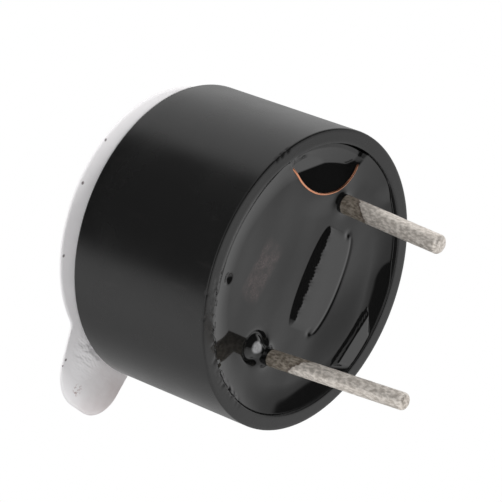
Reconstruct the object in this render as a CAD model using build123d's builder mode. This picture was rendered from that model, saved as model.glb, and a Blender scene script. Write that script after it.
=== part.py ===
from build123d import *
import math
import os

os.makedirs("parts", exist_ok=True)

# Magnetic buzzer, 12 mm class, standing as it does on a circuit board.
# z = 0 is the seating plane of the case's open rim, +Z points to the sound port,
# and the two pins leave the potted side along -Z with their row on the X axis.

# Driving sizes of the case, in millimetres
case_diameter = 12.0
case_height = 6.6
case_wall = 0.6
front_wall = 0.7
sound_hole_diameter = 2.4
chamber_wall = 1.15
front_edge_break = 0.06
rim_edge_break = 0.06
rim_lead_in = 0.12

# Sealing label on the front, stuck on off centre
label_diameter = 11.2
label_thickness = 0.1
label_shift = (-0.28, -1.21)
tab_overhang = 2.22
tab_upper_side = 2.48
tab_lower_side = 0.94
tab_flare = 22.0
tab_upper_round = 1.35
tab_lower_round = 1.9
tab_root_round = 0.5

# Pins, tinned on their free stretch and leaning in towards each other
pin_pitch = 6.5
pitch_plane_depth = 0.8
pin_lean = 3.1
pin_wire_diameter = 0.64
long_tinned_diameter = 0.68
short_tinned_diameter = 0.76
tinning_start = 0.3
tinning_taper = 0.65
long_pin_length = 6.43
short_pin_length = 4.64
pin_tip_break = 0.14

# Stack inside the case, from the pins' side up
potting_level = 0.3
potting_thickness = 0.75
board_thickness = 0.8
yoke_thickness = 0.5
magnet_height = 1.75
magnet_inner_diameter = 6.8
magnet_outer_diameter = 8.8
core_diameter = 2.0
core_rivet_diameter = 1.3
core_gap = 0.14
coil_outer_diameter = 5.2
coil_height = 1.55
coil_exit_height = 0.5
support_ring_wall = 0.65
support_lip_height = 0.2
support_lip_wall = 0.2
diaphragm_thickness = 0.08
weight_diameter = 3.0
weight_thickness = 0.3
small_edge = 0.1

# Clearances between pieces that drop into or pass through each other
drop_in_clearance = 0.04
core_clearance = 0.02
diaphragm_clearance = 0.05
pin_hole_clearance = 0.1
pin_yoke_clearance = 0.35
lead_hole_diameter = 0.5
loop_clearance = 0.015

# How far a cut or a boss starts behind the face that it leaves
reach_past = 0.1

# Solder at the pins and at the pads of the thin enamelled coil wires
solder_diameter = 1.5
solder_height = 0.5
solder_lip = 0.09
dot_diameter = 0.7
dot_height = 0.22
dot_taper = 40.0
wire_diameter = 0.09
lead_hole_place = (2.48, 1.66)
long_pad_place = (-3.2, -1.2)
short_pad_place = (4.75, 0.25)

# Potting surface: meniscus at the wall, raised land, half-moon pocket, wicks and blemishes
meniscus_width = 1.15
meniscus_top = 0.05
land_length = 4.3
land_width = 2.0
land_height = 0.24
land_place = (0.5, 0.85)
land_turn = -10.0
land_edge_taper = 35.0
pocket_depth = 0.34
pocket_wall_gap = 0.3
wick_diameter = 1.1
wick_top = 0.03
wick_taper = 28.0
drop_diameter = 0.95
drop_height = 0.2
drop_place = (-3.2, -0.85)
pit_diameter = 0.5
pit_depth = 0.16
pit_taper = 42.0
pit_place = (-1.85, -4.25)

# Route of the spare loop of coil wire along the pocket's edge, seen in plan
loop_points = [
    (3.02, -3.92),
    (2.74, -2.65),
    (2.95, -1.4),
    (3.75, -0.38),
    (4.95, -0.3),
]
# How far back and aside of the loop's start the wire comes up through the potting
loop_dive = 0.35
loop_sidestep = 0.18
# How far the loop's middle line stands proud of the potting
loop_proud = 0.012
# Corner radius as a share of what the shorter of two runs allows
bend_share = 0.45

# Sizes that follow from the ones above
case_radius = case_diameter / 2
bore_radius = case_radius - case_wall
chamber_radius = case_radius - chamber_wall
board_bottom = potting_level + potting_thickness
board_top = board_bottom + board_thickness
yoke_top = board_top + yoke_thickness
diaphragm_seat = yoke_top + magnet_height + small_edge
ledge_level = diaphragm_seat + support_lip_height
drop_in_radius = bore_radius - drop_in_clearance
diaphragm_radius = drop_in_radius - support_lip_wall - diaphragm_clearance
lean_slope = math.tan(math.radians(pin_lean))
pin_row_half = pin_pitch / 2 + pitch_plane_depth * lean_slope
pin_root_length = board_top / math.cos(math.radians(pin_lean)) + reach_past


def pin_plane(side):
    """Plane on the seating level with its normal along a pin, away from the case. side is +1 or -1 along X."""
    lean = math.radians(pin_lean)
    return Plane(
        origin=(side * pin_row_half, 0, 0),
        x_dir=(math.cos(lean), 0, -side * math.sin(lean)),
        z_dir=(-side * math.sin(lean), 0, -math.cos(lean)),
    )


def bend_radii(points):
    """The largest even bends that a route's runs leave room for, one for each inner corner."""
    corners = [Vector(*point) for point in points]
    radii = []
    for before, here, after in zip(corners, corners[1:], corners[2:]):
        turn = math.radians((here - before).get_angle(after - here))
        shorter = min((here - before).length, (after - here).length)
        radii.append(bend_share * shorter / math.tan(turn / 2))
    return radii


def lead_wire(lead_in, loop, lead_out, label):
    """Enamelled wire: short straight runs where it is buried, and gentle bends along its open loop."""
    with BuildPart() as wire:
        with BuildLine() as route:
            if loop:
                Polyline(*lead_in, loop[0])
                FilletPolyline(*loop, radius=bend_radii(loop))
                Polyline(loop[-1], *lead_out)
            else:
                Polyline(*lead_in, *lead_out)
        path = Wire(route.edges())
        with BuildSketch(Plane(origin=path @ 0, z_dir=path % 0)):
            Circle(wire_diameter / 2)
        sweep(path=path, transition=Transition.RIGHT)
    wire.part.label = label
    expected = math.pi * (wire_diameter / 2) ** 2 * path.length
    print(label, "volume over section times length", round(wire.part.volume / expected, 4))
    return wire.part


def pin_section_plane(side):
    """Plane through a pin's axis, x across the pin and y along it, away from the case."""
    plane = pin_plane(side)
    return Plane(origin=plane.origin, x_dir=plane.x_dir, z_dir=(0, 1, 0))


def pin(side, tinned_diameter, length, label):
    """Round pin: plain wire in the potting, its tin coat tapering in below the rim, with its tip's edge broken."""
    plane = pin_plane(side)
    wire_radius = pin_wire_diameter / 2
    tinned_radius = tinned_diameter / 2
    with BuildPart() as body:
        with BuildSketch(pin_section_plane(side)):
            with BuildLine():
                Polyline(
                    (0, -pin_root_length),
                    (wire_radius, -pin_root_length),
                    (wire_radius, tinning_start),
                    (tinned_radius, tinning_start + tinning_taper),
                    (tinned_radius, length - pin_tip_break),
                    (tinned_radius - pin_tip_break, length),
                    (0, length),
                    close=True,
                )
            make_face()
        revolve(axis=Axis(plane.origin, plane.z_dir))
        split(bisect_by=Plane.XY.offset(board_top), keep=Keep.BOTTOM)
    body.part.label = label
    return body.part


def solder_cone(side, label):
    """Cone of solder that climbs the pin from the circuit board's lower face."""
    plane = pin_plane(side)
    foot = -board_bottom
    lip = foot + solder_height
    with BuildPart() as cone:
        with BuildSketch(pin_section_plane(side)):
            with BuildLine():
                Polyline(
                    (pin_wire_diameter / 2, foot - reach_past),
                    (pin_wire_diameter / 2, lip),
                    (pin_wire_diameter / 2 + solder_lip, lip),
                    (solder_diameter / 2, foot),
                    (solder_diameter / 2, foot - reach_past),
                    close=True,
                )
            make_face()
        revolve(axis=Axis(plane.origin, plane.z_dir))
        split(bisect_by=Plane.XY.offset(board_bottom), keep=Keep.BOTTOM)
    cone.part.label = label
    return cone.part


def solder_dot(place, lead, label):
    """Blob of solder on the board's lower face, round the end of a coil wire."""
    with BuildPart() as dot:
        with BuildSketch(Plane.XY.offset(board_bottom)):
            with Locations(place):
                Circle(dot_diameter / 2)
        extrude(amount=-dot_height, taper=dot_taper)
        add(lead, mode=Mode.SUBTRACT)
    dot.part.label = label
    return dot.part


# Case: one moulded cup with a stepped bore, the chamber and the sound hole
with BuildPart() as case:
    with BuildSketch(Plane.XZ) as case_section:
        with BuildLine():
            Polyline(
                (bore_radius, 0),
                (case_radius, 0),
                (case_radius, case_height),
                (sound_hole_diameter / 2, case_height),
                (sound_hole_diameter / 2, case_height - front_wall),
                (chamber_radius, case_height - front_wall),
                (chamber_radius, ledge_level),
                (bore_radius, ledge_level),
                close=True,
            )
        make_face()
    revolve(axis=Axis.Z)
    circles = case.edges().filter_by(GeomType.CIRCLE)
    chamfer(circles.group_by(Axis.Z)[-1].sort_by(SortBy.RADIUS)[-1], front_edge_break)
    circles = case.edges().filter_by(GeomType.CIRCLE)
    chamfer(circles.group_by(Axis.Z)[0].sort_by(SortBy.RADIUS)[-1], rim_edge_break)
    circles = case.edges().filter_by(GeomType.CIRCLE)
    chamfer(circles.group_by(Axis.Z)[0].sort_by(SortBy.RADIUS)[0], rim_lead_in)
case.part.label = "case"

# Sealing label: a round sticker over the sound hole, with a pull tab that flares on one side towards its root
tab_root = label_diameter / 4
tab_reach = label_diameter / 2 + tab_overhang
tab_corners = [
    (-tab_root, tab_upper_side),
    (-tab_reach, tab_upper_side),
    (-tab_reach, -tab_lower_side),
    (-tab_root, -tab_lower_side - (tab_reach - tab_root) * math.tan(math.radians(tab_flare))),
]
with BuildPart() as sealing_label:
    with BuildSketch(Plane.XY.offset(case_height)) as label_outline:
        with Locations(label_shift):
            Circle(label_diameter / 2)
            Polygon(*tab_corners, align=None)
        fillet(label_outline.vertices().group_by(Axis.X)[0].sort_by(Axis.Y)[-1], tab_upper_round)
        fillet(label_outline.vertices().group_by(Axis.X)[0].sort_by(Axis.Y)[0], tab_lower_round)
        roots = [
            corner
            for corner in label_outline.vertices()
            if math.isclose(math.dist((corner.X, corner.Y), label_shift), label_diameter / 2, rel_tol=1e-4)
            and corner.X < label_shift[0]
        ]
        fillet(roots, tab_root_round)
    extrude(amount=label_thickness)
sealing_label.part.label = "sealing_label"

# Support ring: carries the diaphragm's rim and centres it with a thin lip
with BuildPart() as support_ring:
    with BuildSketch(Plane.XZ):
        with BuildLine():
            Polyline(
                (drop_in_radius - support_ring_wall, yoke_top),
                (drop_in_radius, yoke_top),
                (drop_in_radius, ledge_level),
                (drop_in_radius - support_lip_wall, ledge_level),
                (drop_in_radius - support_lip_wall, diaphragm_seat),
                (drop_in_radius - support_ring_wall, diaphragm_seat),
                close=True,
            )
        make_face()
    revolve(axis=Axis.Z)
support_ring.part.label = "support_ring"

# Diaphragm: a thin flat disc of spring iron
with BuildPart() as diaphragm:
    with BuildSketch(Plane.XY.offset(diaphragm_seat)):
        Circle(diaphragm_radius)
    extrude(amount=diaphragm_thickness)
diaphragm.part.label = "diaphragm"

# Armature weight: the iron disc welded to the diaphragm's middle
with BuildPart() as armature_weight:
    with BuildSketch(Plane.XY.offset(diaphragm_seat + diaphragm_thickness)):
        Circle(weight_diameter / 2)
    extrude(amount=weight_thickness)
    chamfer(armature_weight.edges().group_by(Axis.Z)[-1], small_edge)
armature_weight.part.label = "armature_weight"

# Ring magnet around the coil
with BuildPart() as ring_magnet:
    with BuildSketch(Plane.XY.offset(yoke_top)):
        Circle(magnet_outer_diameter / 2)
        Circle(magnet_inner_diameter / 2, mode=Mode.SUBTRACT)
    extrude(amount=magnet_height)
    rims = ring_magnet.edges().filter_by(GeomType.CIRCLE).group_by(SortBy.RADIUS)[-1]
    chamfer(rims, small_edge)
ring_magnet.part.label = "ring_magnet"

# Pole core: iron rod riveted through the yoke plate
with BuildPart() as pole_core:
    with BuildSketch(Plane.XY.offset(board_top)):
        Circle(core_rivet_diameter / 2)
    extrude(amount=yoke_thickness)
    with BuildSketch(Plane.XY.offset(yoke_top)):
        Circle(core_diameter / 2)
    extrude(amount=diaphragm_seat - core_gap - yoke_top)
    chamfer(pole_core.edges().group_by(Axis.Z)[-1], small_edge)
pole_core.part.label = "pole_core"

# Coil: a bonded winding on the core
with BuildPart() as coil_winding:
    with BuildSketch(Plane.XY.offset(yoke_top)):
        Circle(coil_outer_diameter / 2)
        Circle(core_diameter / 2 + core_clearance, mode=Mode.SUBTRACT)
    extrude(amount=coil_height)
    chamfer(coil_winding.edges().group_by(Axis.Z)[-1].sort_by(SortBy.RADIUS)[-1], small_edge)
coil_winding.part.label = "coil_winding"

# Yoke plate: iron disc with the rivet hole, room for the pins and two holes for the coil's wires
lead_holes = [(side * lead_hole_place[0], -lead_hole_place[1]) for side in (1, -1)]
pin_holes = [(side * (pin_row_half + lean_slope * board_bottom), 0) for side in (1, -1)]
with BuildPart() as yoke_plate:
    with BuildSketch(Plane.XY.offset(board_top)):
        Circle(drop_in_radius)
        Circle(core_rivet_diameter / 2, mode=Mode.SUBTRACT)
        with Locations(*lead_holes):
            Circle(lead_hole_diameter / 2, mode=Mode.SUBTRACT)
        with Locations(*pin_holes):
            Circle(pin_wire_diameter / 2 + pin_yoke_clearance, mode=Mode.SUBTRACT)
    extrude(amount=yoke_thickness)
yoke_plate.part.label = "yoke_plate"

# Circuit board under the yoke, with holes for the pins and the coil's wires
with BuildPart() as circuit_board:
    with BuildSketch(Plane.XY.offset(board_bottom)):
        Circle(drop_in_radius)
        with Locations(*lead_holes):
            Circle(lead_hole_diameter / 2, mode=Mode.SUBTRACT)
        with Locations(*pin_holes):
            Circle(pin_wire_diameter / 2 + pin_hole_clearance, mode=Mode.SUBTRACT)
    extrude(amount=board_thickness)
circuit_board.part.label = "circuit_board"

# Coil wires: out of the winding, down through yoke and board, and across the potting to their pads
coil_side = coil_outer_diameter / 2
lead_drop = math.hypot(*lead_hole_place)
coil_exit_level = yoke_top + coil_exit_height
run_level = (potting_level + board_bottom) / 2
pad_level = board_bottom - wire_diameter


def lead_start(side, low_level):
    """The wire's first points, from the winding's flank through the yoke and the board to a level below them."""
    across, along = side * lead_hole_place[0], -lead_hole_place[1]
    share = coil_side / lead_drop
    return [
        (across * share, along * share, coil_exit_level),
        (across, along, coil_exit_level),
        (across, along, low_level),
    ]


coil_lead_long = lead_wire(lead_start(-1, pad_level), [], [(*long_pad_place, pad_level)], "coil_lead_long")
loop = [(x, y, potting_level - loop_proud) for x, y in loop_points]
loop_turn = [(loop[0][0] - loop_dive, loop[0][1] - loop_sidestep, run_level)]
loop_exit = [(*short_pad_place, pad_level)]
coil_lead_short = lead_wire(lead_start(1, run_level) + loop_turn, loop, loop_exit, "coil_lead_short")

# Solder: a cone at each pin and a dot at the end of each wire
pin_long = pin(-1, long_tinned_diameter, long_pin_length, "pin_long")
pin_short = pin(1, short_tinned_diameter, short_pin_length, "pin_short")
solder_long = solder_cone(-1, "solder_long")
solder_short = solder_cone(1, "solder_short")
pad_solder_long = solder_dot(long_pad_place, coil_lead_long, "pad_solder_long")
pad_solder_short = solder_dot(short_pad_place, coil_lead_short, "pad_solder_short")

# Potting: resin poured over the board, climbing the wall and the pins, with a land and a half-moon pocket
with BuildPart() as potting:
    with BuildSketch(Plane.XZ):
        with BuildLine():
            level = Line((0, potting_level), (bore_radius - meniscus_width, potting_level))
            climb = TangentArc(level @ 1, (bore_radius, meniscus_top), tangent=level % 1)
            Polyline(climb @ 1, (bore_radius, board_bottom), (0, board_bottom), level @ 0)
        make_face()
    revolve(axis=Axis.Z)
    with BuildSketch(Plane.XY.offset(potting_level + reach_past)):
        with Locations(Location((*land_place, 0), land_turn)):
            SlotOverall(land_length, land_width)
    extrude(amount=-(land_height + reach_past), taper=land_edge_taper)
    with BuildSketch(Plane.XY):
        with BuildLine():
            edge = FilletPolyline(*loop_points, radius=bend_radii(loop))
            pocket_radius = bore_radius - pocket_wall_gap
            first = Vector(*loop_points[0]).normalized() * pocket_radius
            last = Vector(*loop_points[-1]).normalized() * pocket_radius
            Line(edge @ 0, first)
            RadiusArc(last, first, pocket_radius)
            Line(last, edge @ 1)
        make_face()
        offset(amount=wire_diameter / 2 + loop_clearance, mode=Mode.REPLACE)
    extrude(amount=potting_level + pocket_depth, mode=Mode.SUBTRACT)
    for side in (1, -1):
        wick_plane = pin_plane(side)
        with BuildSketch(wick_plane.offset(-potting_level - reach_past)):
            Circle(wick_diameter / 2)
        extrude(amount=potting_level + reach_past - wick_top, taper=wick_taper)
    with BuildSketch(Plane.XY.offset(potting_level + reach_past)):
        with Locations(drop_place):
            Circle(drop_diameter / 2)
    extrude(amount=-(drop_height + reach_past), taper=land_edge_taper)
    with BuildSketch(Plane.XY.offset(potting_level)):
        with Locations(pit_place):
            Circle(pit_diameter / 2)
    extrude(amount=pit_depth, taper=pit_taper, mode=Mode.SUBTRACT)
    pins = (pin_long, pin_short)
    solder = (solder_long, solder_short, pad_solder_long, pad_solder_short)
    wires = (coil_lead_long, coil_lead_short)
    for embedded in pins + solder + wires:
        add(embedded, mode=Mode.SUBTRACT)
potting.part.label = "potting"

pieces = {
    "case": case.part,
    "sealing_label": sealing_label.part,
    "support_ring": support_ring.part,
    "diaphragm": diaphragm.part,
    "armature_weight": armature_weight.part,
    "ring_magnet": ring_magnet.part,
    "pole_core": pole_core.part,
    "coil_winding": coil_winding.part,
    "yoke_plate": yoke_plate.part,
    "circuit_board": circuit_board.part,
    "pin_long": pin_long,
    "pin_short": pin_short,
    "solder_long": solder_long,
    "solder_short": solder_short,
    "pad_solder_long": pad_solder_long,
    "pad_solder_short": pad_solder_short,
    "coil_lead_long": coil_lead_long,
    "coil_lead_short": coil_lead_short,
    "potting": potting.part,
}
for name, piece in pieces.items():
    export_step(piece, f"parts/{name}.step")
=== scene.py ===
import math

import bpy
import numpy as np
from mathutils import Matrix, Vector, noise


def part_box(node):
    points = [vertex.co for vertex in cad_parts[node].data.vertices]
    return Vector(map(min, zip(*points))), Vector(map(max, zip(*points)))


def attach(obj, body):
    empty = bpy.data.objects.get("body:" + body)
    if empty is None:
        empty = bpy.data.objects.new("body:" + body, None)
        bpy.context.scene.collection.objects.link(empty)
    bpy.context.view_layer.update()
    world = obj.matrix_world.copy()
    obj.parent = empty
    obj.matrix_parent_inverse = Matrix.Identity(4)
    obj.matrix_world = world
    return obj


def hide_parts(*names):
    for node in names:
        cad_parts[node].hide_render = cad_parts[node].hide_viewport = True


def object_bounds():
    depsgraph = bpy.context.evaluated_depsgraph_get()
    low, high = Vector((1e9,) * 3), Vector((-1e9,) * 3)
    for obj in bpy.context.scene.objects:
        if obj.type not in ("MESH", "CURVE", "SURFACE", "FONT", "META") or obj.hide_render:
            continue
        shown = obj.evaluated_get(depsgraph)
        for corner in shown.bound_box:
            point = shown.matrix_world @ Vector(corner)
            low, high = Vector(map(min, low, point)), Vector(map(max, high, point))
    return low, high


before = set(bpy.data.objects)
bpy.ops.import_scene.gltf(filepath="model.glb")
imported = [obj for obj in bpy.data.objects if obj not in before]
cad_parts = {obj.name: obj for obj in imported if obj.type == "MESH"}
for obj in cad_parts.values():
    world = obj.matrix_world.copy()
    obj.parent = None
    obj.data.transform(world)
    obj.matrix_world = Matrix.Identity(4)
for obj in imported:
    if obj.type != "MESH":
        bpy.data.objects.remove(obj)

cad_low, cad_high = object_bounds()

# A round magnetic buzzer, seen from its potted side with both pins towards the camera.
# Its shapes are worked out in millimetres and written to the meshes in metres
MM = 0.001

# The photograph's camera, from the case's two rims and sides
camera_azimuth = -11.6
camera_elevation = -36.67
camera_roll = -69.26
camera_distance = 113.97
camera_offset = (2.202, -1.135)
photo_width = 502
focal_pixels = 3000
sensor_width = 36.0

# Case
case_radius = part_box("case")[1].x / MM
case_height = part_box("case")[1].z / MM
bore_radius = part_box("potting")[1].x / MM
chamber_wall = 1.15
sound_hole_radius = 1.2
front_wall = 0.7
ledge_level = 4.4
front_edge_round = 0.06
rim_edge_round = 0.06
rim_lead_in = 0.05
hole_edge_break = 0.05
case_segments = 512
# Heights of the rows of the outer wall next to the rim, and of those of the bore
wall_rows = (0.1, 0.13, 0.2)
bore_rows = (1.2, 0.6, 0.3, 0.12)
# Ragged stretch of the inner lip: how far it reaches, its depth, its two grains and the finer one's share
lip_reach = 0.2
lip_depth = 0.05
lip_grains = (0.22, 0.08)
fine_lip_share = 0.5
# Nicks in the rim's outer edge: how far they reach in and up, their rise for a depth of one,
# and for each its angle and half width in degrees and its depth
nick_reach = 0.12
nick_height = 0.1
nick_rise = 0.6
rim_nicks = [
    (297.5, 0.7, 0.035),
    (300.4, 0.8, 0.045),
    (303.6, 0.9, 0.04),
    (232, 0.5, 0.02),
    (241, 0.6, 0.025),
]
# Painted brown reflection of the label's tab on the case beside it: its middle, and where it starts and ends
# to fade
painted_brown_reflection = (-5.9, 0.3, 6.5)
brown_reflection_fade = (0.3, 1.6)

# Potting: resin level and back, meniscus at the wall, and dish
resin_level = 0.3
resin_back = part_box("potting")[1].z / MM
meniscus_width = 1.15
meniscus_rise = 0.25
dish_depth = 0.05
skin_rings = 150
skin_segments = 480
# Neither the skin nor a smear on it comes nearer to the rim's plane than this
skin_limit = 0.01
smear_limit = 0.012
# Slight waves: for each its share, radians per millimetre along X and Y, and offset, and a crossed pair
wave_height = 0.008
skin_waves = [(1.0, 1.1, 0.6, 0.4), (0.8, 0.7, -1.3, 2.0)]
crossed_share = 0.5
crossed_waves = [(2.1, 1.7), (-0.8, 1.9)]
# Stretch of the wall in degrees where the resin climbs less
calm_stretch = (30, 58)
calm_share = 0.55
calm_ease = 12
# Stretch of the wall in degrees where the resin is smeared
smeared_stretch = (-172, -116)
smear_height = 0.05
smear_reach = 0.3
smear_ease = 0.2
smear_grains = (0.3, 0.11)
fine_smear_share = 0.6
# Overfilled ledge along the wall: the line of its step, the lines of its two ends, its level and slope,
# and the widths over which its ends and its step ease
ledge_start = (4.45, 0.15)
ledge_right = (0.75, -1.06, 4.6)
ledge_left = (-2.0, 0.29, 4.2)
overfill_level = 0.02
overfill_slope = 0.05
ledge_edge = 0.2
ledge_step = 0.1
# Gentle rise of the resin before that step: its height, run, middle and half width
ledge_lift = (0.11, 2.2, -0.6, 2.0)
# Raised land: its middle, turn in degrees, height, half length, the line of its crest and its steep flank
land_place = (0.35, 0.85)
land_turn = -10.0
land_height = 0.11
land_reach = 2.05
crest_line = -0.43
flank_width = 0.48
flank_foot = 0.02
land_end_ease = 1.6
# Saw teeth of the crest, and how many of them make one beat of their slow swell
serration_pitch = 0.14
serration_share = 0.09
serration_beat = 4.3
# Groove that ends the land: half length, its line at the ends and in the middle, width and depth,
# and the two blobs in its ends
groove_reach = 2.15
groove_line = (0.85, 1.55)
groove_width = 0.08
groove_depth = 0.02
blob_depth = 0.04
blob_inset = 0.12
blob_spread = 0.02
# Half-moon pocket: the way it faces, the lines where it starts and folds, and its slopes
pocket_toward = (0.76, -0.65)
pocket_start = 3.05
pocket_fold_line = 4.3
pocket_slope = 0.26
pocket_wall_slope = 0.32
pocket_fold = 0.02
pocket_end_slope = 0.8
pocket_hidden_slope = 4.0
pocket_hidden_line = -1.2
pocket_radius = 5.15
pocket_rim_slope = 0.5
# Wicks of resin up the pins, by side
pin_foot = 3.31
pin_core_radius = 0.34
wick_heights = {-1: 0.26, 1: 0.08}
wick_reach = 0.12
# Drop beside the long pin with a moat round it, crumbs where the loop comes out, and a pit
drop_place = (-3.24, -0.66)
drop_radius = 0.36
drop_height = 0.1
drop_steepness = 1.4
moat_radius = 0.52
moat_width = 0.13
moat_depth = 0.12
crumb_place = (3.3, -4.0)
crumb_reach = 0.5
crumb_height = 0.08
crumb_steepness = 1.5
pit_place = (-1.82, -4.15)
pit_radius = 0.27
pit_depth = 0.09
# Rubbed patch, as middle and half size along X and Y, and where the drop's painted grey reflection starts
# and ends to fade
rubbed_patch = ((-0.8, 1.2), (-2.45, 0.62))
drop_reflection_fade = (0.19, 0.28)

# Spare loop of coil wire along the pocket's edge, as in the CAD, seen in plan
loop_points = [
    (3.02, -3.92),
    (2.74, -2.65),
    (2.95, -1.4),
    (3.75, -0.38),
    (4.95, -0.3),
]
loop_proud = 0.02
# Where its two ends go in the resin: along X and Y from its first and last points, and depth
loop_dives = [(0.02, -0.35 / 3, 0.2), (0.2, 0.02, 0.25)]
wire_radius = 0.045
wire_sides = 8

# Pins: the tin coat is a hair lumpy, and a film of resin has crept up the first stretch
pin_lean = 3.1
pin_row_half = 3.2933
long_pin_radius = 0.345
short_pin_radius = 0.385
pin_root = 1.8
pin_tip_round = 0.16
pin_shortfall = 0.01
# Lumps of the coat: their height, and the turns per millimetre of the coarse and the fine ones
pin_lumps = 0.012
lump_waves = (3.1, 9.0)
fine_lump_share = 0.5
pin_segments = 96
pin_rows = 220
pin_tip_rows = 9
# Height at which the film ends at the pin's middle, how much further it reaches inward per millimetre
# across, and the height down to which black resin covers the pin
long_film = (-1.6, 1.18, -0.1)
short_film = (-0.8, 0.79, 0.12)
# How far the film's ragged end strays, its soft edge, the stretch of dark flecks behind it,
# and the soft edge of the black
film_stray = 0.5
film_soft = 0.03
fleck_stretch = (0.02, 0.16)
black_soft = 0.04

# Sealing label, with a tab whose lower side flares
label_radius = 5.6
label_shift = (-0.28, -1.21)
tab_reach = 7.82
tab_upper_side = 2.48
tab_lower_side = 0.94
tab_flare = 22.0
tab_upper_round = 1.35
tab_lower_round = 1.9
tab_root_round = 0.5
label_rings = 40
film_thickness = 0.07
film_wave = 0.011
# Waves of the loose film: radians per millimetre along X and Y, and offset
film_waves = [(2.6, 1.1, 0), (1.3, -2.9, 1)]
film_dent = 0.012
# The label's fold where the tab leaves the case
fold_place = 0.12
fold_width = 0.1
fold_waves = 9
# Places on the film: crumpled at the tab's root, and painted shade of two soft creases near its tip
crumple_place = (-5.95, -1.5)
crease_shade_place = (-7.5, -1.08)
# Dust stuck to the film: place and size
label_specks = [
    (-6.78, -2.56, 0.07),
    (-7.04, -2.55, 0.05),
    (0.95, -6.6, 0.08),
    (-0.91, -6.59, 0.09),
    (-3.58, -5.57, 0.08),
]

# Coil
coil_radius = 2.6
coil_inner_radius = 1.02
coil_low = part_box("coil_winding")[0].z / MM
coil_height = 1.55
coil_segments = 96

# Floor in metres, and light
floor_level = cad_low.z
floor_radius = 0.4
floor_segments = 96
ambient_level = 0.85


def linear(hex_colour):
    """An sRGB hex colour as the linear colour that a socket takes."""
    channels = [int(hex_colour[i:i + 2], 16) / 255 for i in (1, 3, 5)]
    return tuple(c / 12.92 if c <= 0.04045 else ((c + 0.055) / 1.055) ** 2.4 for c in channels) + (1.0,)


def add_node(tree, kind, inputs=None, **settings):
    """A node with its settings. An input that is a node or a socket is linked, and any other is a value."""
    node = tree.nodes.new(kind)
    for name, value in settings.items():
        setattr(node, name, value)
    for key, value in (inputs or {}).items():
        if isinstance(value, bpy.types.Node):
            value = next(output for output in value.outputs if output.enabled)
        if isinstance(value, bpy.types.NodeSocket):
            tree.links.new(value, node.inputs[key])
        else:
            node.inputs[key].default_value = value
    return node


def per_mm(size):
    """Texture scale for a pattern whose grain is that many millimetres."""
    return 1 / (size * MM)


def smooth(t):
    """Eased step from 0 to 1."""
    t = np.clip(t, 0, 1)
    return t * t * (3 - 2 * t)


def add_piece(name, vertices, faces, material, replaced):
    """A finished piece from vertices in millimetres: it rides on the one body and stands for a CAD node."""
    mesh = bpy.data.meshes.new(name)
    mesh.from_pydata([tuple(v) for v in np.asarray(vertices, float) * MM], [], faces)
    mesh.polygons.foreach_set("use_smooth", [True] * len(mesh.polygons))
    mesh.update()
    piece = bpy.data.objects.new(name, mesh)
    bpy.context.scene.collection.objects.link(piece)
    piece.data.materials.append(material)
    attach(piece, "root")
    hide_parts(*replaced)
    return piece


def ring_faces(rows, columns, first=0):
    """Quads between neighbouring rows of a closed grid, each row being one turn."""
    faces = []
    for row in range(rows - 1):
        for column in range(columns):
            here = first + row * columns
            after = (column + 1) % columns
            faces.append((here + column, here + after, here + columns + after, here + columns + column))
    return faces


def arc(centre, radius, start, end, steps):
    """Points on an arc, angles in degrees."""
    angles = np.radians(np.linspace(start, end, steps))
    return [(centre[0] + radius * math.cos(a), centre[1] + radius * math.sin(a)) for a in angles]


def roughness_noise(points, grain, seed):
    """Smooth noise from -1 to 1 at each point, with a grain in millimetres and an offset for its seed."""
    offset = Vector((seed, 2.3 * seed, -1.7 * seed))
    return np.array([noise.noise(Vector(p) / grain + offset) for p in points])


# Camera
def add_camera():
    """The photograph's camera looks up at the pins' side from below and is rolled."""
    data = bpy.data.cameras.new("camera")
    data.sensor_width = sensor_width
    data.lens = sensor_width * focal_pixels / photo_width
    data.dof.use_dof = False
    camera = bpy.data.objects.new("camera", data)
    bpy.context.scene.collection.objects.link(camera)
    bpy.context.scene.camera = camera
    a, e, roll = (math.radians(x) for x in (camera_azimuth, camera_elevation, camera_roll))
    back = Vector((math.sin(a) * math.cos(e), -math.cos(a) * math.cos(e), math.sin(e)))
    level = Vector((math.cos(a), math.sin(a), 0))
    upright = back.cross(level)
    right = math.cos(roll) * level + math.sin(roll) * upright
    up = math.cos(roll) * upright - math.sin(roll) * level
    place = (camera_distance * back - camera_offset[0] * right - camera_offset[1] * up) * MM
    camera.matrix_world = Matrix.Translation(place) @ Matrix((right, up, back)).transposed().to_4x4()
    data.clip_start = camera_distance * MM / 20
    data.clip_end = camera_distance * MM * 50
    return right, up, back


camera_right, camera_up, camera_back = add_camera()


# Materials
# Most of a noise's values lie between these two
noise_span = {"From Min": 0.3, "From Max": 0.7}


def new_material(name):
    """An empty material and its tree."""
    material = bpy.data.materials.new(name)
    material.use_nodes = True
    material.node_tree.nodes.clear()
    return material, material.node_tree


def object_noise(tree, grain, detail=3.0, stretch=(1, 1, 1)):
    """Noise in the piece's own coordinates, its grain in millimetres."""
    coordinates = add_node(tree, "ShaderNodeTexCoord").outputs["Object"]
    placed = add_node(tree, "ShaderNodeMapping", {"Vector": coordinates, "Scale": stretch})
    return add_node(tree, "ShaderNodeTexNoise", {"Vector": placed, "Scale": per_mm(grain), "Detail": detail})


def near_place(tree, middle, inner, outer):
    """Falls from 1 to 0 between two distances in millimetres from a place on the piece."""
    coordinates = add_node(tree, "ShaderNodeTexCoord").outputs["Object"]
    middle = [c * MM for c in middle]
    away = add_node(tree, "ShaderNodeVectorMath", {0: coordinates, 1: middle}, operation="DISTANCE")
    reach = {"From Min": inner * MM, "From Max": outer * MM, "To Min": 1, "To Max": 0}
    return add_node(tree, "ShaderNodeMapRange", {"Value": away.outputs["Value"], **reach})


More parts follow.
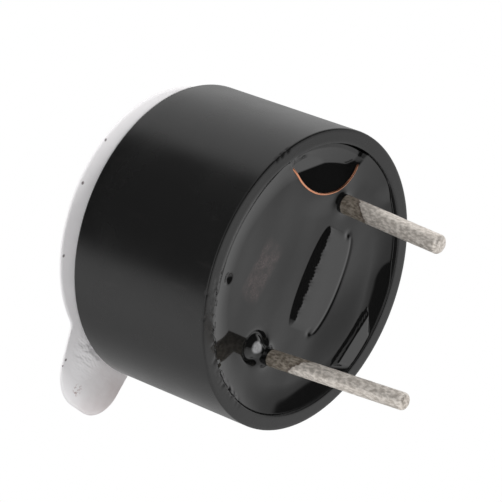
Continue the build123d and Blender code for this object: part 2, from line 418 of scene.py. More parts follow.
def plain_finish(name, colours, rough, grain, depth, metallic=0.0, stretch=(1, 1, 1)):
    """A finish of one substance: two near colours, a range of roughness and a fine bump of its grain."""
    material, tree = new_material(name)
    pattern = object_noise(tree, grain, stretch=stretch)
    cloud = object_noise(tree, grain * 3)
    share = add_node(tree, "ShaderNodeMapRange", {"Value": pattern, **noise_span})
    # A Mix node takes its two colours at 6 and 7
    ends = {6: linear(colours[0]), 7: linear(colours[1])}
    rough_span = {**noise_span, "To Min": rough[0], "To Max": rough[1]}
    inputs = {
        "Base Color": add_node(tree, "ShaderNodeMix", {"Factor": share, **ends}, data_type="RGBA"),
        "Roughness": add_node(tree, "ShaderNodeMapRange", {"Value": cloud, **rough_span}),
        "Normal": add_node(tree, "ShaderNodeBump", {"Height": pattern, "Distance": depth * MM}),
        "Metallic": metallic,
    }
    if not metallic:
        inputs["IOR"] = 1.5
    shader = add_node(tree, "ShaderNodeBsdfPrincipled", inputs)
    add_node(tree, "ShaderNodeOutputMaterial", {"Surface": shader})
    return material


def moulded_case_plastic():
    """Glass-filled black polyester, moulded smooth: satin, with fine scuffs and a painted brown reflection
    of the label's tab.
    """
    material, tree = new_material("moulded black polyester")
    grain = object_noise(tree, 0.05, detail=4.0)
    cloud = object_noise(tree, 1.6, detail=2.0)
    scuffs = object_noise(tree, 0.35, detail=6.0, stretch=(1, 1, 0.25))
    scuffed = add_node(tree, "ShaderNodeMapRange", {"Value": scuffs, "From Min": 0.62, "From Max": 0.75})
    blacks = {6: linear("#101010"), 7: linear("#191818")}
    # Painted reflection: a patchy brown beside the label stands in for the tab mirrored in the case
    reflection_browns = {6: linear("#2c1a18"), 7: linear("#3a2422")}
    skin = add_node(tree, "ShaderNodeMix", {"Factor": scuffed, **blacks}, data_type="RGBA")
    painted_reflection_brown = add_node(tree, "ShaderNodeMix", {"Factor": cloud, **reflection_browns}, data_type="RGBA")
    patchy_span = {**noise_span, "To Min": 0.2, "To Max": 0.9}
    patchy = add_node(tree, "ShaderNodeMapRange", {"Value": cloud, **patchy_span})
    near = near_place(tree, painted_brown_reflection, *brown_reflection_fade)
    reflection_share = add_node(tree, "ShaderNodeMath", {0: near, 1: patchy}, operation="MULTIPLY")
    reflection_mixed = {"Factor": reflection_share, 6: skin, 7: painted_reflection_brown}
    rough_span = {**noise_span, "To Min": 0.22, "To Max": 0.29}
    inputs = {
        "Base Color": add_node(tree, "ShaderNodeMix", reflection_mixed, data_type="RGBA"),
        "Roughness": add_node(tree, "ShaderNodeMapRange", {"Value": cloud, **rough_span}),
        "Normal": add_node(tree, "ShaderNodeBump", {"Height": grain, "Distance": 0.001 * MM}),
        "IOR": 1.45,
    }
    shader = add_node(tree, "ShaderNodeBsdfPrincipled", inputs)
    add_node(tree, "ShaderNodeOutputMaterial", {"Surface": shader})
    return material


def poured_epoxy():
    """Black potting epoxy, cured in the open: glossy as glass, with a dull rubbed patch and a drop painted
    grey as a reflection.
    """
    material, tree = new_material("poured black epoxy")
    coordinates = add_node(tree, "ShaderNodeTexCoord").outputs["Object"]
    place = add_node(tree, "ShaderNodeSeparateXYZ", {"Vector": coordinates})
    edges = []
    for axis, (middle, half) in zip("XY", rubbed_patch):
        offset = {0: place.outputs[axis], 1: middle * MM}
        offset = add_node(tree, "ShaderNodeMath", offset, operation="SUBTRACT")
        away = add_node(tree, "ShaderNodeMath", {0: offset}, operation="ABSOLUTE")
        reach = {"From Min": half * MM * 0.7, "From Max": half * MM * 1.1, "To Min": 1, "To Max": 0}
        edges.append(add_node(tree, "ShaderNodeMapRange", {"Value": away, **reach}))
    mask = add_node(tree, "ShaderNodeMath", {0: edges[0], 1: edges[1]}, operation="MULTIPLY")
    # Faint dull speckle, finer than any mark could be read from
    speckle = add_node(
        tree,
        "ShaderNodeMapRange",
        {"Value": object_noise(tree, 0.07, detail=4.0), "From Min": 0.4, "From Max": 0.7, "To Min": 0.25},
    )
    cloud = object_noise(tree, 0.3, detail=1.0)
    cloud = add_node(tree, "ShaderNodeMapRange", {"Value": cloud, **noise_span, "To Min": 0.2})
    worn = add_node(tree, "ShaderNodeMath", {0: mask, 1: speckle}, operation="MULTIPLY")
    worn = add_node(tree, "ShaderNodeMath", {0: worn, 1: cloud}, operation="MULTIPLY")
    rubs = {6: linear("#0b0b0b"), 7: linear("#463c3b")}
    rubbed = add_node(tree, "ShaderNodeMix", {"Factor": worn, **rubs}, data_type="RGBA")
    # The drop beside the long pin is painted grey: a painted reflection in its base colour
    drop = near_place(tree, (*drop_place, resin_level - drop_height), *drop_reflection_fade)
    greys = {6: linear("#757576"), 7: linear("#979798")}
    painted_drop_reflection = add_node(tree, "ShaderNodeMix", {"Factor": speckle, **greys}, data_type="RGBA")
    ripple = object_noise(tree, 0.9, detail=1.0)
    drop_reflected = {"Factor": drop, 6: rubbed, 7: painted_drop_reflection}
    inputs = {
        "Base Color": add_node(tree, "ShaderNodeMix", drop_reflected, data_type="RGBA"),
        "Roughness": add_node(tree, "ShaderNodeMapRange", {"Value": worn, "To Min": 0.07, "To Max": 0.3}),
        "Normal": add_node(tree, "ShaderNodeBump", {"Height": ripple, "Distance": 0.004 * MM}),
        "IOR": 1.46,
    }
    shader = add_node(tree, "ShaderNodeBsdfPrincipled", inputs)
    add_node(tree, "ShaderNodeOutputMaterial", {"Surface": shader})
    return material


def tinned_wire(name, side, film_end, film_slant, black_end):
    """Hot-tinned steel wire: silver-grey, finely pitted, with a brown film of resin that ends on a slant."""
    material, tree = new_material(name)
    coordinates = add_node(tree, "ShaderNodeTexCoord").outputs["Object"]
    place = add_node(tree, "ShaderNodeSeparateXYZ", {"Vector": coordinates})
    pits = object_noise(tree, 0.09, detail=5.0, stretch=(1, 1, 0.5))
    streaks = object_noise(tree, 0.22, detail=4.0, stretch=(1, 1, 0.3))
    # Distance outward of the pin's middle line, at the film's height
    middle = pin_row_half + film_end * math.tan(math.radians(pin_lean))
    outward = {0: place.outputs["X"], 1: side, 2: -middle * MM}
    outward = add_node(tree, "ShaderNodeMath", outward, operation="MULTIPLY_ADD")
    slant = {0: outward, 1: -film_slant, 2: place.outputs["Z"]}
    slant = add_node(tree, "ShaderNodeMath", slant, operation="MULTIPLY_ADD")
    ragged = {0: streaks, 1: film_stray * MM, 2: slant}
    ragged = add_node(tree, "ShaderNodeMath", ragged, operation="MULTIPLY_ADD")
    end = film_end + film_stray / 2
    reach = {"From Min": (end - film_soft) * MM, "From Max": (end + film_soft) * MM}
    film = add_node(tree, "ShaderNodeMapRange", {"Value": ragged, **reach})
    reach = {"From Min": (end + fleck_stretch[0]) * MM, "From Max": (end + fleck_stretch[1]) * MM}
    edge = add_node(tree, "ShaderNodeMapRange", {"Value": ragged, **reach, "To Min": 0.7, "To Max": 0})
    reach = {"From Min": (black_end - black_soft) * MM, "From Max": black_end * MM}
    wicked = add_node(tree, "ShaderNodeMapRange", {"Value": place.outputs["Z"], **reach})
    coarse = add_node(tree, "ShaderNodeMapRange", {"Value": pits, "From Min": 0.38, "From Max": 0.62})
    silvers = {6: linear("#bdb5ac"), 7: linear("#eee7df")}
    tin = add_node(tree, "ShaderNodeMix", {"Factor": coarse, **silvers}, data_type="RGBA")
    flecks = {6: linear("#6a6155"), 7: linear("#a59c90")}
    flecked = add_node(tree, "ShaderNodeMix", {"Factor": coarse, **flecks}, data_type="RGBA")
    browned = {"Factor": edge, 6: flecked, 7: linear("#4a3a34")}
    browned = add_node(tree, "ShaderNodeMix", browned, data_type="RGBA")
    coat = add_node(tree, "ShaderNodeMix", {"Factor": film, 6: tin, 7: browned}, data_type="RGBA")
    blackened = {"Factor": wicked, 6: coat, 7: linear("#0b0b0b")}
    # Under the film and under the black the tin's own shine is dulled
    metal = add_node(tree, "ShaderNodeMapRange", {"Value": film, "To Min": 0.55, "To Max": 0.35})
    bare = add_node(tree, "ShaderNodeMapRange", {"Value": wicked, "To Min": 1, "To Max": 0})
    rough_span = {**noise_span, "To Min": 0.38, "To Max": 0.55}
    rough = add_node(tree, "ShaderNodeMapRange", {"Value": pits, **rough_span})
    glossed = add_node(tree, "ShaderNodeMapRange", {"Value": wicked, "To Min": 1, "To Max": 0.25})
    relief = add_node(tree, "ShaderNodeMath", {0: streaks, 1: 1.5, 2: pits}, operation="MULTIPLY_ADD")
    relief = {"Height": relief, "Distance": 0.01 * MM, "Strength": 0.7}
    inputs = {
        "Base Color": add_node(tree, "ShaderNodeMix", blackened, data_type="RGBA"),
        "Metallic": add_node(tree, "ShaderNodeMath", {0: metal, 1: bare}, operation="MULTIPLY"),
        "Roughness": add_node(tree, "ShaderNodeMath", {0: rough, 1: glossed}, operation="MULTIPLY"),
        "Normal": add_node(tree, "ShaderNodeBump", relief),
    }
    shader = add_node(tree, "ShaderNodeBsdfPrincipled", inputs)
    add_node(tree, "ShaderNodeOutputMaterial", {"Surface": shader})
    return material


def enamelled_wire():
    """Thin copper wire under clear enamel: a warm metal glint."""
    return plain_finish(
        "enamelled copper", ("#d98f6c", "#e8a987"), (0.22, 0.34), 0.1, 0.001, metallic=1.0
    )


def adhesive_film():
    """White polyester film: satin, creased, with stuck dust, a pinkish grey on half of the tab that is
    partly glue tint and partly painted shade, and a painted crease shade near its tip.
    """
    material, tree = new_material("white polyester film")
    coordinates = add_node(tree, "ShaderNodeTexCoord").outputs["Object"]
    place = add_node(tree, "ShaderNodeSeparateXYZ", {"Vector": coordinates})
    cloud = object_noise(tree, 0.9, detail=3.0)
    # Painted shade on the tab: past the case's edge the film turns pinkish grey towards +Y, partly glue tint
    # and partly painted shade of the tab's curl
    reach = {"From Min": -6.4 * MM, "From Max": -5.5 * MM, "To Min": 1, "To Max": 0}
    lifted = add_node(tree, "ShaderNodeMapRange", {"Value": place.outputs["X"], **reach})
    reach = {"From Min": -1.3 * MM, "From Max": 0.9 * MM}
    shaded = add_node(tree, "ShaderNodeMapRange", {"Value": place.outputs["Y"], **reach})
    glue = add_node(tree, "ShaderNodeMapRange", {"Value": cloud, **noise_span, "To Min": 0.55})
    glue_tint_and_painted_shade = add_node(tree, "ShaderNodeMath", {0: glue, 1: lifted}, operation="MULTIPLY")
    glue_tint_and_painted_shade = add_node(tree, "ShaderNodeMath", {0: glue_tint_and_painted_shade, 1: shaded}, operation="MULTIPLY")
    white_and_shaded_pink = {6: linear("#f4f2f3"), 7: linear("#cdc3c2")}
    clean = add_node(tree, "ShaderNodeMix", {"Factor": glue_tint_and_painted_shade, **white_and_shaded_pink}, data_type="RGBA")
    dust = 0.0
    for x, y, size in label_specks:
        speck = near_place(tree, (x, y, case_height), size * 0.5, size)
        dust = add_node(tree, "ShaderNodeMath", {0: dust, 1: speck}, operation="MAXIMUM")
    dusty = {"Factor": dust, 6: clean, 7: linear("#7d7577")}
    dusty = add_node(tree, "ShaderNodeMix", dusty, data_type="RGBA")
    # Painted shade: a broken darker line where the film is creased near the tab's tip
    crease_shade = near_place(tree, (*crease_shade_place, case_height), 0.1, 0.3)
    broken = object_noise(tree, 0.12, detail=2.0)
    broken = add_node(tree, "ShaderNodeMapRange", {"Value": broken, "From Min": 0.5, "From Max": 0.6})
    painted_crease_shade = add_node(tree, "ShaderNodeMath", {0: crease_shade, 1: broken}, operation="MULTIPLY")
    crease_shaded = {"Factor": painted_crease_shade, 6: dusty, 7: linear("#b09a98")}
    creases = object_noise(tree, 0.45, detail=3.0, stretch=(1, 0.35, 1))
    creased = add_node(tree, "ShaderNodeBump", {"Height": creases, "Distance": 0.03 * MM, "Strength": 0.6})
    root = near_place(tree, (*crumple_place, case_height), 0.2, 1.2)
    folds = {0: root, 1: object_noise(tree, 0.5, detail=2.0, stretch=(1.6, 0.7, 1))}
    folds = add_node(tree, "ShaderNodeMath", folds, operation="MULTIPLY")
    crumpled = {"Height": folds, "Distance": 0.2 * MM, "Normal": creased}
    inputs = {
        "Base Color": add_node(tree, "ShaderNodeMix", crease_shaded, data_type="RGBA"),
        "Roughness": add_node(
            tree, "ShaderNodeMapRange", {"Value": cloud, **noise_span, "To Min": 0.38, "To Max": 0.52}
        ),
        "Normal": add_node(tree, "ShaderNodeBump", crumpled),
        "IOR": 1.5,
    }
    shader = add_node(tree, "ShaderNodeBsdfPrincipled", inputs)
    add_node(tree, "ShaderNodeOutputMaterial", {"Surface": shader})
    return material


# Finishes of the pieces inside, each by its substance
case_plastic = moulded_case_plastic()
potting_resin = poured_epoxy()
long_tin = tinned_wire("hot-tinned wire, long pin", -1, *long_film)
short_tin = tinned_wire("hot-tinned wire, short pin", 1, *short_film)
copper_wire = enamelled_wire()
label_film = adhesive_film()
# Moulded black plastic of the ring that carries the diaphragm: dull, with the tool's fine texture
ring_plastic = plain_finish("moulded ring plastic", ("#1b1b1b", "#232323"), (0.45, 0.55), 0.08, 0.004)
# Rolled spring iron: bright, with lines of the roll along X
spring_iron = plain_finish(
    "rolled spring iron",
    ("#a8a8a6", "#c4c3c0"),
    (0.22, 0.32),
    0.12,
    0.002,
    metallic=1.0,
    stretch=(0.1, 1, 1),
)
# Soft iron, turned and punched: grey with a satin cut
soft_iron = plain_finish("turned soft iron", ("#8f8e8c", "#b0aeab"), (0.28, 0.42), 0.1, 0.004, metallic=1.0)
# Sintered ferrite: charcoal grey, dead matt and gritty
ferrite = plain_finish("sintered ferrite", ("#2a2a2b", "#3a3a3b"), (0.7, 0.85), 0.06, 0.01)
# Paper laminate board: tan, with its paper fibre
board_laminate = plain_finish(
    "paper laminate", ("#8a6d3b", "#a5874f"), (0.5, 0.65), 0.15, 0.004, stretch=(0.3, 1, 1)
)
# Tin solder: bright and a little wavy
solder = plain_finish("tin solder", ("#b5b5b4", "#cfcfcd"), (0.2, 0.35), 0.2, 0.01, metallic=1.0)

kept_finishes = {
    "support_ring": ring_plastic,
    "diaphragm": spring_iron,
    "armature_weight": soft_iron,
    "ring_magnet": ferrite,
    "pole_core": soft_iron,
    "yoke_plate": soft_iron,
    "circuit_board": board_laminate,
    "solder_long": solder,
    "solder_short": solder,
    "pad_solder_long": solder,
    "pad_solder_short": solder,
    "coil_lead_long": copper_wire,
}
for name, material in kept_finishes.items():
    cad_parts[name].data.materials.clear()
    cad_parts[name].data.materials.append(material)


# Case
def case_profile():
    """The moulded cup's section, once round: outer wall, front, sound hole, chamber, bore and rim."""
    r, h = case_radius, case_height
    e = front_edge_round
    q = rim_edge_round
    points = arc((r - q, q), q, -90, 0, 5)
    points += [(r, z) for z in wall_rows]
    points += [(r, z) for z in np.linspace(q, h - e, 12)[1:-1]]
    points += arc((r - e, h - e), e, 0, 90, 9)
    points += [(sound_hole_radius + hole_edge_break, h), (sound_hole_radius, h - hole_edge_break)]
    chamber_radius = r - chamber_wall
    points += [(sound_hole_radius, h - front_wall), (chamber_radius, h - front_wall)]
    points += [(chamber_radius, ledge_level), (bore_radius, ledge_level)]
    points += [(bore_radius, z) for z in bore_rows]
    points += arc((bore_radius + rim_lead_in, rim_lead_in), rim_lead_in, 180, 270, 6)
    points += [(x, 0) for x in np.linspace(bore_radius + rim_lead_in, r - q, 6)[1:-1]]
    return points


def add_case():
    """The cup, with a slightly ragged inner lip and small nicks along part of the rim's outer edge."""
    profile = case_profile()
    angles = np.linspace(0, 2 * math.pi, case_segments, endpoint=False)
    vertices = np.array([(r * math.cos(a), r * math.sin(a), z) for r, z in profile for a in angles])
    radius = np.hypot(vertices[:, 0], vertices[:, 1])
    turn = np.degrees(np.arctan2(vertices[:, 1], vertices[:, 0])) % 360
    lip = (vertices[:, 2] < lip_reach) & (radius < bore_radius + lip_reach)
    ragged = np.zeros(len(vertices))
    ragged[lip] = roughness_noise(vertices[lip], lip_grains[0], seed=3.0)
    ragged[lip] += fine_lip_share * roughness_noise(vertices[lip], lip_grains[1], seed=5.0)
    signed = (turn + 180) % 360 - 180
    vertices[:, 2] += np.clip(ragged, 0, 1) * lip_depth * stretch_share(signed, smeared_stretch)
    edge = (vertices[:, 2] < nick_height) & (radius > case_radius - nick_reach)
    for place, width, depth in rim_nicks:
        share = np.exp(-((turn - place) / width) ** 2)
        nick = np.where(edge, share * depth, 0)
        vertices[:, 0] *= 1 - nick / np.maximum(radius, 1)
        vertices[:, 1] *= 1 - nick / np.maximum(radius, 1)
        vertices[:, 2] += nick * nick_rise
    rows = len(profile)
    faces = ring_faces(rows, case_segments)
    last = (rows - 1) * case_segments
    for column in range(case_segments):
        after = (column + 1) % case_segments
        faces.append((last + column, last + after, after, column))
    return add_piece("case_shell", vertices, faces, case_plastic, ["case"])


# Wire loop
def loop_height(x, y):
    """Height of the loop's line over the resin's skin."""
    climb = max(0.0, (math.hypot(x, y) - (bore_radius - meniscus_width)) / meniscus_width)
    return resin_level - meniscus_rise * climb**2 - loop_proud


def route_curve(name, points):
    """A smooth NURBS line with these points as its control points."""
    data = bpy.data.curves.new(name, "CURVE")
    data.dimensions = "3D"
    data.resolution_u = 24
    spline = data.splines.new("NURBS")
    spline.points.add(len(points) - 1)
    for point, place in zip(spline.points, points):
        point.co = (*[c * MM for c in place], 1)
    spline.order_u = 3
    spline.use_endpoint_u = True
    curve = bpy.data.objects.new(name, data)
    bpy.context.scene.collection.objects.link(curve)
    return curve


def plain_mesh(source):
    """The evaluated object as a plain mesh; the source is removed."""
    graph = bpy.context.evaluated_depsgraph_get()
    mesh = bpy.data.meshes.new_from_object(source.evaluated_get(graph), depsgraph=graph)
    bpy.data.objects.remove(source)
    return mesh


def loop_line():
    """Points along the loop's smooth line, in millimetres."""
    curve = route_curve("loop_line", [(x, y, loop_height(x, y)) for x, y in loop_points])
    mesh = plain_mesh(curve)
    return np.array([v.co for v in mesh.vertices]) / MM


def add_loop():
    """The spare loop of coil wire, diving into the resin at both ends."""
    points = [(x, y, loop_height(x, y)) for x, y in loop_points]
    dives = [
        (x + along, y + across, resin_level + depth)
        for (x, y, _), (along, across, depth) in zip((points[0], points[-1]), loop_dives)
    ]
    curve = route_curve("wire_loop", [dives[0], *points, dives[1]])
    curve.data.bevel_depth = wire_radius * MM
    curve.data.bevel_resolution = 4
    curve.data.use_fill_caps = True
    mesh = plain_mesh(curve)
    vertices = np.array([v.co for v in mesh.vertices]) / MM
    faces = [tuple(p.vertices) for p in mesh.polygons]
    return add_piece("wire_loop", vertices, faces, copper_wire, ["coil_lead_short"])


# Potting
def inside_outline(x, y, outline):
    """Which points lie inside a closed outline, by the even-odd rule."""
    inside = np.zeros(x.shape, bool)
    for (x0, y0), (x1, y1) in zip(outline, np.roll(outline, -1, axis=0)):
        if y0 == y1:
            continue
        crosses = (y0 > y) != (y1 > y)
        inside ^= crosses & (x < (x1 - x0) * (y - y0) / (y1 - y0) + x0)
    return inside


def pocket_cut(x, y, line):
    """The half-moon pocket: one facet falls from the wire, and past the fold another climbs to the wall.

    Returns its depth, the distance from its border, and its share, which is 1 inside it.
    """
    start, end = (math.degrees(math.atan2(line[i, 1], line[i, 0])) for i in (-1, 0))
    outline = np.vstack([line[:, :2], arc((0, 0), bore_radius, start, end, 24)])
    inside = inside_outline(x, y, outline)
    reach = {i: np.linspace(1, bore_radius / math.hypot(*line[i, :2]), 8) for i in (0, -1)}
    ends = [line[i, :2] * s for i in (0, -1) for s in reach[i]]
    border = np.vstack([line[:, :2], ends])
    from_border = np.hypot(x[:, None] - border[None, :, 0], y[:, None] - border[None, :, 1]).min(axis=1)
    onward = pocket_toward[0] * x + pocket_toward[1] * y
    falling = pocket_slope * (onward - pocket_start)
    deepest = pocket_slope * (pocket_fold_line - pocket_start)
    rising = deepest - pocket_wall_slope * (onward - pocket_fold_line)
    step = np.where(y < pocket_hidden_line, pocket_hidden_slope, pocket_end_slope) * from_border
    low = np.minimum(falling, rising)
    gap = np.abs(falling - rising)
    fold = np.where(gap < pocket_fold, (pocket_fold - gap) ** 2 / (4 * pocket_fold), 0)
    inward = pocket_rim_slope * (pocket_radius - np.hypot(x, y))
    depth = np.clip(np.minimum(np.minimum(low - fold, inward), step), 0, None)
    return np.where(inside, depth, 0), from_border, np.where(inside, smooth(from_border * 5), 0)


def land_shape(x, y):
    """The raised land: a steep flank, a saw-toothed crest, a gentle back and the groove at its end."""
    turn = math.radians(land_turn)
    dx, dy = x - land_place[0], y - land_place[1]
    along = math.cos(turn) * dx + math.sin(turn) * dy
    across = math.cos(turn) * dy - math.sin(turn) * dx
    envelope = np.sqrt(np.clip(1 - (along / land_reach) ** 2, 0, 1))
    foot = crest_line - flank_width * envelope - flank_foot
    teeth = np.sin(along * 2 * math.pi / serration_pitch)
    teeth += np.sin(along * 2 * math.pi / (serration_pitch * serration_beat) + 1)
    teeth *= serration_share * np.exp(-np.maximum(across - crest_line, 0) / serration_pitch)
    groove_share = np.sqrt(np.clip(1 - (along / groove_reach) ** 2, 0, 1))
    groove = groove_line[0] + (groove_line[1] - groove_line[0]) * groove_share
    rise = np.clip((across - foot) / (crest_line - foot), 0, 2)
    fall = np.clip((groove - across) / (groove - crest_line), 0, 1)
    height = land_height * smooth(envelope * land_end_ease) * np.minimum(rise, fall * (1 + teeth))
    within = np.abs(along) < groove_reach
    line = np.exp(-((across - groove) / groove_width) ** 2) * smooth((groove_reach - np.abs(along)) * 4)
    blobs = sum(
        np.exp(-((along - place) ** 2 + (across - groove_line[0]) ** 2) / blob_spread)
        for place in (groove_reach - blob_inset, blob_inset - groove_reach)
    )
    return height - np.where(within, groove_depth * line, 0) - blob_depth * blobs


def stretch_share(turn, stretch, ease=7.0):
    """1 within a stretch of angles in degrees, easing to 0 outside it."""
    return smooth((turn - stretch[0]) / ease + 1) * smooth((stretch[1] - turn) / ease + 1)


def ledge_share(x, y):
    """1 on the overfilled ledge, easing to 0 across its step and its two ends."""
    past_step = smooth((y - ledge_start[0] - ledge_start[1] * x) / ledge_step)
    past_right = smooth((ledge_right[0] + ledge_right[1] * (y - ledge_right[2]) - x) / ledge_edge)
    past_left = smooth((x - ledge_left[0] - ledge_left[1] * (y - ledge_left[2])) / ledge_edge)
    return past_step * past_right * past_left


def wave_pattern(x, y):
    """The skin's slight waves, before their height."""
    waves = sum(share * np.sin(a * x + b * y + offset) for share, a, b, offset in skin_waves)
    first, second = (np.sin(a * x + b * y) for a, b in crossed_waves)
    return waves + crossed_share * first * second


def skin_height(x, y, line):
    """The resin's skin in millimetres over the rim's plane; less is nearer the pins' side."""
    radius = np.hypot(x, y)
    turn = np.degrees(np.arctan2(y, x))
    pocket, from_border, opened = pocket_cut(x, y, line)
    climb = np.clip((radius - (bore_radius - meniscus_width)) / meniscus_width, 0, 1)
    climb *= np.sqrt(1 - calm_share * stretch_share(turn, calm_stretch, calm_ease))
    skin = resin_level - meniscus_rise * climb**2 * (1 - opened)
    skin += dish_depth * (1 - (radius / bore_radius) ** 2) * smooth(from_border)
    skin -= wave_height * wave_pattern(x, y) * smooth(from_border * 2) * (1 - climb)
    height, run, middle, half = ledge_lift
    lift = smooth((y - ledge_start[0] + run) / run) * np.exp(-((x - middle) / half) ** 2)
    skin -= height * lift * (1 - climb**2)
    skin += (overfill_level + overfill_slope * (y - ledge_start[0]) - skin) * ledge_share(x, y)
    skin -= land_shape(x, y)
    skin += pocket
    for side in (1, -1):
        away = np.hypot(x - side * pin_foot, y)
        skin -= wick_heights[side] * np.exp(-np.maximum(away - pin_core_radius, 0) / wick_reach)
    away = np.hypot(x - drop_place[0], y - drop_place[1])
    skin -= drop_height * smooth(drop_steepness * (1 - away / drop_radius))
    skin += moat_depth * np.exp(-((away - moat_radius) / moat_width) ** 2)
    away = np.hypot(x - pit_place[0], y - pit_place[1])
    skin += pit_depth * np.clip(1 - (away / pit_radius) ** 2, 0, 1) ** 1.5
    return np.maximum(skin, skin_limit)


def blemishes(x, y):
    """Smears of resin along one stretch of the wall, and crumbs where the loop comes out."""
    radius = np.hypot(x, y)
    share = smooth((radius - (bore_radius - smear_reach)) / smear_ease)
    share *= stretch_share(np.degrees(np.arctan2(y, x)), smeared_stretch)
    away = np.hypot(x - crumb_place[0], y - crumb_place[1])
    crumbed = smooth(crumb_steepness * (1 - away / crumb_reach))
    rough = np.zeros(len(x))
    near = (share > 0) | (crumbed > 0)
    spots = np.column_stack([x, y, np.zeros_like(x)])[near]
    rough[near] = roughness_noise(spots, smear_grains[0], seed=7.0)
    rough[near] += fine_smear_share * roughness_noise(spots, smear_grains[1], seed=9.0)
    return rough * (smear_height * share + crumb_height * crumbed)


def add_potting():
    """The resin fill: a fine visible skin, its wall and a flat back on the circuit board."""
    line = loop_line()
    radii = bore_radius * np.linspace(0, 1, skin_rings + 1)[1:]
    angles = np.linspace(0, 2 * math.pi, skin_segments, endpoint=False)
    x = np.outer(radii, np.cos(angles)).ravel()
    y = np.outer(radii, np.sin(angles)).ravel()
    z = np.maximum(skin_height(x, y, line) - blemishes(x, y), smear_limit)
    centre = skin_height(np.zeros(1), np.zeros(1), line)[0]
    vertices = [(0, 0, centre)] + list(zip(x, y, z))
    edge = 1 + (skin_rings - 1) * skin_segments
    back = len(vertices)
    vertices += [(bore_radius * math.cos(a), bore_radius * math.sin(a), resin_back) for a in angles]
    vertices.append((0, 0, resin_back))
    faces = [(a, b, c, d) for d, c, b, a in ring_faces(skin_rings, skin_segments, 1)]
    for column in range(skin_segments):
        after = (column + 1) % skin_segments
        faces.append((0, 1 + after, 1 + column))
        faces.append((edge + column, edge + after, back + after, back + column))
        faces.append((back + column, back + after, back + skin_segments))
    faces = [tuple(reversed(f)) if len(f) == 4 and f[0] < edge and f[2] < back else f for f in faces]
    return add_piece("potting_resin", vertices, faces, potting_resin, ["potting"])


# Pins
def add_pin(name, side, pin_radius, tin):
    """A tinned pin: a lumpy coat, a rounded tip, and the lean and free length of its CAD node."""
    lean = math.radians(pin_lean)
    length = -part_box(name)[0].z / (MM * math.cos(lean)) - pin_shortfall
    axis = Vector((-side * math.sin(lean), 0, -math.cos(lean)))
    across = Vector((math.cos(lean), 0, -side * math.sin(lean)))
    along = [-pin_root + (pin_root + length - pin_tip_round) * i / (pin_rows - 1) for i in range(pin_rows)]
    profile = [(pin_radius, t) for t in along]
    tip = length - pin_tip_round
    profile += arc((pin_radius - pin_tip_round, tip), pin_tip_round, 0, 90, pin_tip_rows)[1:]
    foot = Vector((side * pin_row_half, 0, 0))
    # The rows go outward along the pin, so this turn points the faces out
    turns = np.linspace(2 * math.pi, 0, pin_segments, endpoint=False)
    vertices = []
    for radius, t in profile:
        for a in turns:
            local = Vector((radius * math.cos(a), radius * math.sin(a), t))
            lump = noise.noise(local * lump_waves[0] + Vector((side * 7, 0, 0)))
            lump += fine_lump_share * noise.noise(local * lump_waves[1])
            worn = radius - pin_lumps * (0.55 - 0.45 * lump)
            outward = across * math.cos(a) + Vector((0, 1, 0)) * math.sin(a)
            vertices.append(foot + axis * t + outward * max(worn, 0.02))
    faces = ring_faces(len(profile), pin_segments)
    vertices.append(foot + axis * -pin_root)
    vertices.append(foot + axis * length)
    last = (len(profile) - 1) * pin_segments
    for column in range(pin_segments):
        after = (column + 1) % pin_segments
        faces.append((len(vertices) - 2, after, column))
        faces.append((len(vertices) - 1, last + column, last + after))
    return add_piece(name + "_wire", [tuple(v) for v in vertices], faces, tin, [name])


# Sealing label
def label_outline():
    """The label's outline: a round sticker with a pull tab, rounded tips and hollow roots."""
    cx, cy = label_shift
    r, f = label_radius, tab_root_round
    along = np.array([-math.cos(math.radians(tab_flare)), math.sin(math.radians(tab_flare))])
    outward = np.array([-along[1], along[0]])
    tip_low = np.array([-tab_reach, -tab_lower_side])
    offset = outward @ tip_low

    def tangent_root(normal, away, direction):
        """Hollow fillet between the disc and a straight side: its centre."""
        base = normal * (away + f)
        return base + direction * math.sqrt((r + f) ** 2 - (away + f) ** 2)

    upper = tangent_root(np.array([0, 1]), tab_upper_side, np.array([-1, 0]))
    lower = tangent_root(outward, offset, along)
    upper_turn = math.degrees(math.atan2(upper[1], upper[0]))
    lower_turn = math.degrees(math.atan2(lower[1], lower[0]))
    out_turn = math.degrees(math.atan2(outward[1], outward[0]))
    points = arc((0, 0), r, lower_turn, upper_turn, 300)
    points += arc(upper, f, upper_turn - 180, -90, 12)[1:]
    corner = (-tab_reach + tab_upper_round, tab_upper_side - tab_upper_round)
    points += [(x, tab_upper_side) for x in np.linspace(upper[0], corner[0], 8)[1:-1]]
    points += arc(corner, tab_upper_round, 90, 180, 20)
    # The lower tip's centre lies one rounding inside both the tip and the flared side
    g = tab_lower_round
    inner = (offset - g - outward[0] * (-tab_reach + g)) / outward[1]
    points += arc((-tab_reach + g, inner), g, 180, 360 + out_turn, 20)
    last = np.array([-tab_reach + g, inner]) + outward * g
    first = lower - outward * f
    points += [tuple(last + (first - last) * s) for s in np.linspace(0, 1, 8)[1:-1]]
    points += arc(lower, f, out_turn + 180, 180 + lower_turn, 12)[:-1]
    return np.array(points) + (cx, cy)


